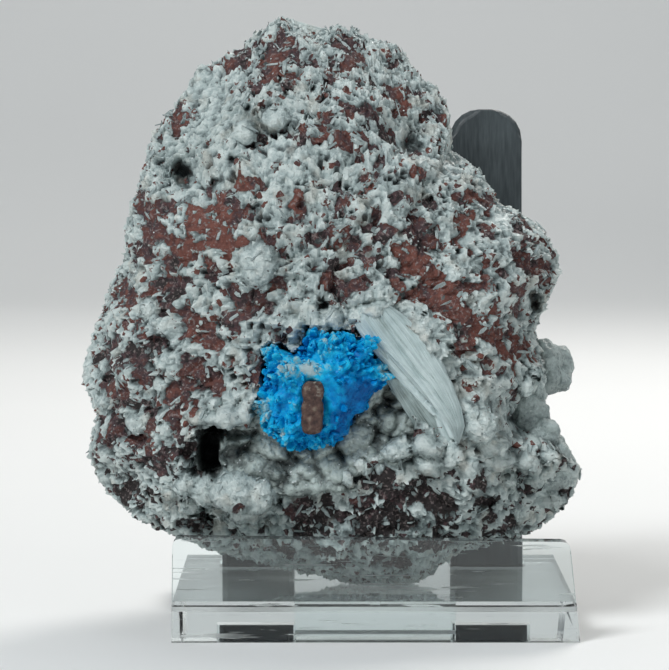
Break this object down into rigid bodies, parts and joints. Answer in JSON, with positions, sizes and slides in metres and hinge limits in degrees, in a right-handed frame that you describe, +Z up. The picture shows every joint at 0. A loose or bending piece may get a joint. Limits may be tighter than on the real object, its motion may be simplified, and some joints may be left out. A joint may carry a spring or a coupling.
{
  "type": "cavansite specimen on display stand",
  "caption": "Blue cavansite rosette with stilbite in a vug of brown and white breccia, set in a clear stand with a front lip and rear posts.",
  "frame": {"origin": "centre of the flat underside of the clear stand", "axes": "+X to the right as seen from the front, +Y to the back, +Z up"},
  "size_m": [0.0657, 0.0488, 0.0802],
  "materials": {
    "breccia_matrix": "rough broken rock, brown basalt in white zeolite",
    "druse_crust": "sparkling grey crystal crust",
    "cavansite_rosette": "vitreous blue crystals",
    "basalt_chip": "matt brown rock",
    "stilbite_sheaf": "pearly white blades",
    "stand_base": "clear acrylic",
    "stand_post_left": "dark grey, satin, lightly brushed",
    "stand_post_right": "dark grey, satin, lightly brushed"
  },
  "bodies": {
    "root": {"breccia_matrix": "breccia_matrix", "druse_crust": "druse_crust", "cavansite_rosette": "cavansite_rosette", "basalt_chip": "basalt_chip", "stilbite_sheaf": "stilbite_sheaf", "stand_base": "stand_base", "stand_post_left": "stand_post_left", "stand_post_right": "stand_post_right"}
  },
  "joints": []
}
